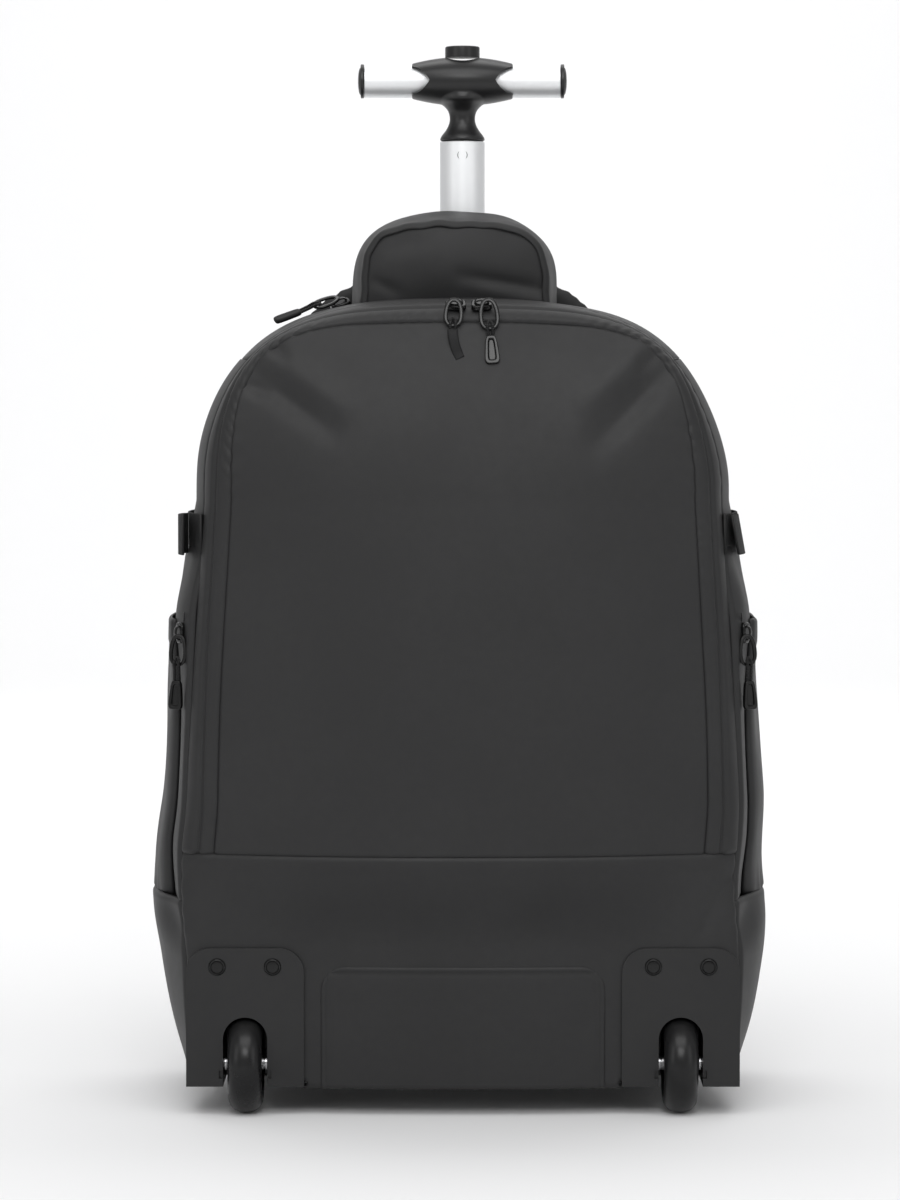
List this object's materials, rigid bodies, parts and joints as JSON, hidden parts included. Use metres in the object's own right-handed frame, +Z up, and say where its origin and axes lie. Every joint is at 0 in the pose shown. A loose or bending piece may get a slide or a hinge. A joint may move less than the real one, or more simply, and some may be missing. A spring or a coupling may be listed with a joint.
{
  "type": "wheeled backpack",
  "caption": "Cabin-size wheeled backpack in coated cloth, with zipped compartments, shoulder straps, a hooded lift handle and two small wheels.",
  "frame": {"origin": "on the floor, under the middle of the whole backpack", "axes": "+Z up, +X to the right seen from the front, -Y towards the viewer of the front panel; the wearer's back is at +Y"},
  "size_m": [0.382, 0.2296, 0.661],
  "materials": {
    "coated_cloth": "matt polyurethane-coated cloth",
    "lining": "plain woven base cloth",
    "webbing": "ribbed nylon webbing",
    "zip_tape": "nylon coil zip on woven tape",
    "moulded_plastic": "fine-grained black nylon",
    "satin_aluminium": "satin anodised",
    "axle_steel": "bright zinc-plated steel",
    "black_metal": "glossy black lacquered zinc",
    "wheel_tread": "glossy black polyurethane",
    "foot_rubber": "matt black rubber"
  },
  "bodies": {
    "bag": {"front_panel": "coated_cloth", "front_band": "coated_cloth", "front_zip": "zip_tape", "kick_panel": "coated_cloth", "kick_patch": "coated_cloth", "side_panel_right": "coated_cloth", "side_panel_left": "coated_cloth", "top_panel": "coated_cloth", "lower_side_right": "coated_cloth", "lower_side_left": "coated_cloth", "side_pocket_right": "coated_cloth", "side_pocket_left": "coated_cloth", "side_zip_right": "zip_tape", "side_zip_left": "zip_tape", "base_panel": "lining", "back_panel": "coated_cloth", "shoulder_strap_right": "coated_cloth", "shoulder_strap_left": "coated_cloth", "strap_webbing_right": "webbing", "strap_webbing_left": "webbing", "hood_front": "coated_cloth", "hood_band": "coated_cloth", "rear_foot_right": "foot_rubber", "rear_foot_left": "foot_rubber", "guide_tube": "satin_aluminium", "handle_collar": "moulded_plastic", "wheel_guard_right": "moulded_plastic", "wheel_guard_left": "moulded_plastic", "rivet_right_outer": "moulded_plastic", "rivet_right_inner": "moulded_plastic", "rivet_left_outer": "moulded_plastic", "rivet_left_inner": "moulded_plastic", "axle_right": "axle_steel", "axle_left": "axle_steel", "side_webbing_right": "webbing", "side_webbing_left": "webbing", "web_loop_right": "webbing", "web_loop_left": "webbing", "zip_slider_front_a": "black_metal", "zip_slider_front_b": "black_metal", "zip_slider_side_right": "black_metal", "zip_slider_side_left": "black_metal", "zip_slider_hood": "black_metal", "zip_pull_front_a": "black_metal", "zip_pull_front_b": "black_metal", "zip_pull_side_right": "black_metal", "zip_pull_side_left": "black_metal", "zip_pull_hood": "black_metal"},
    "lift_handle": {"lift_tube": "satin_aluminium", "tube_screw": "axle_steel", "handle_hub": "moulded_plastic", "cross_tube": "satin_aluminium", "end_cap_right": "moulded_plastic", "end_cap_left": "moulded_plastic"},
    "button": {"release_button": "moulded_plastic"},
    "wheel_right": {"tyre_right": "wheel_tread", "wheel_core_right": "moulded_plastic"},
    "wheel_left": {"tyre_left": "wheel_tread", "wheel_core_left": "moulded_plastic"}
  },
  "joints": [
    {"name": "handle_slide", "type": "slide", "parent": "bag", "child": "lift_handle", "axis": [0, 0, 1], "range_m": [-0.09, 0.28]},
    {"name": "button_press", "type": "slide", "parent": "lift_handle", "child": "button", "axis": [0, 0, -1], "range_m": [0, 0.004], "stiffness_N_per_m": 600},
    {"name": "wheel_right_spin", "type": "hinge", "parent": "bag", "child": "wheel_right", "pos_m": [0.133, -0.08426, 0.0305], "axis": [1, 0, 0], "continuous": true},
    {"name": "wheel_left_spin", "type": "hinge", "parent": "bag", "child": "wheel_left", "pos_m": [-0.133, -0.08426, 0.0305], "axis": [1, 0, 0], "continuous": true}
  ]
}
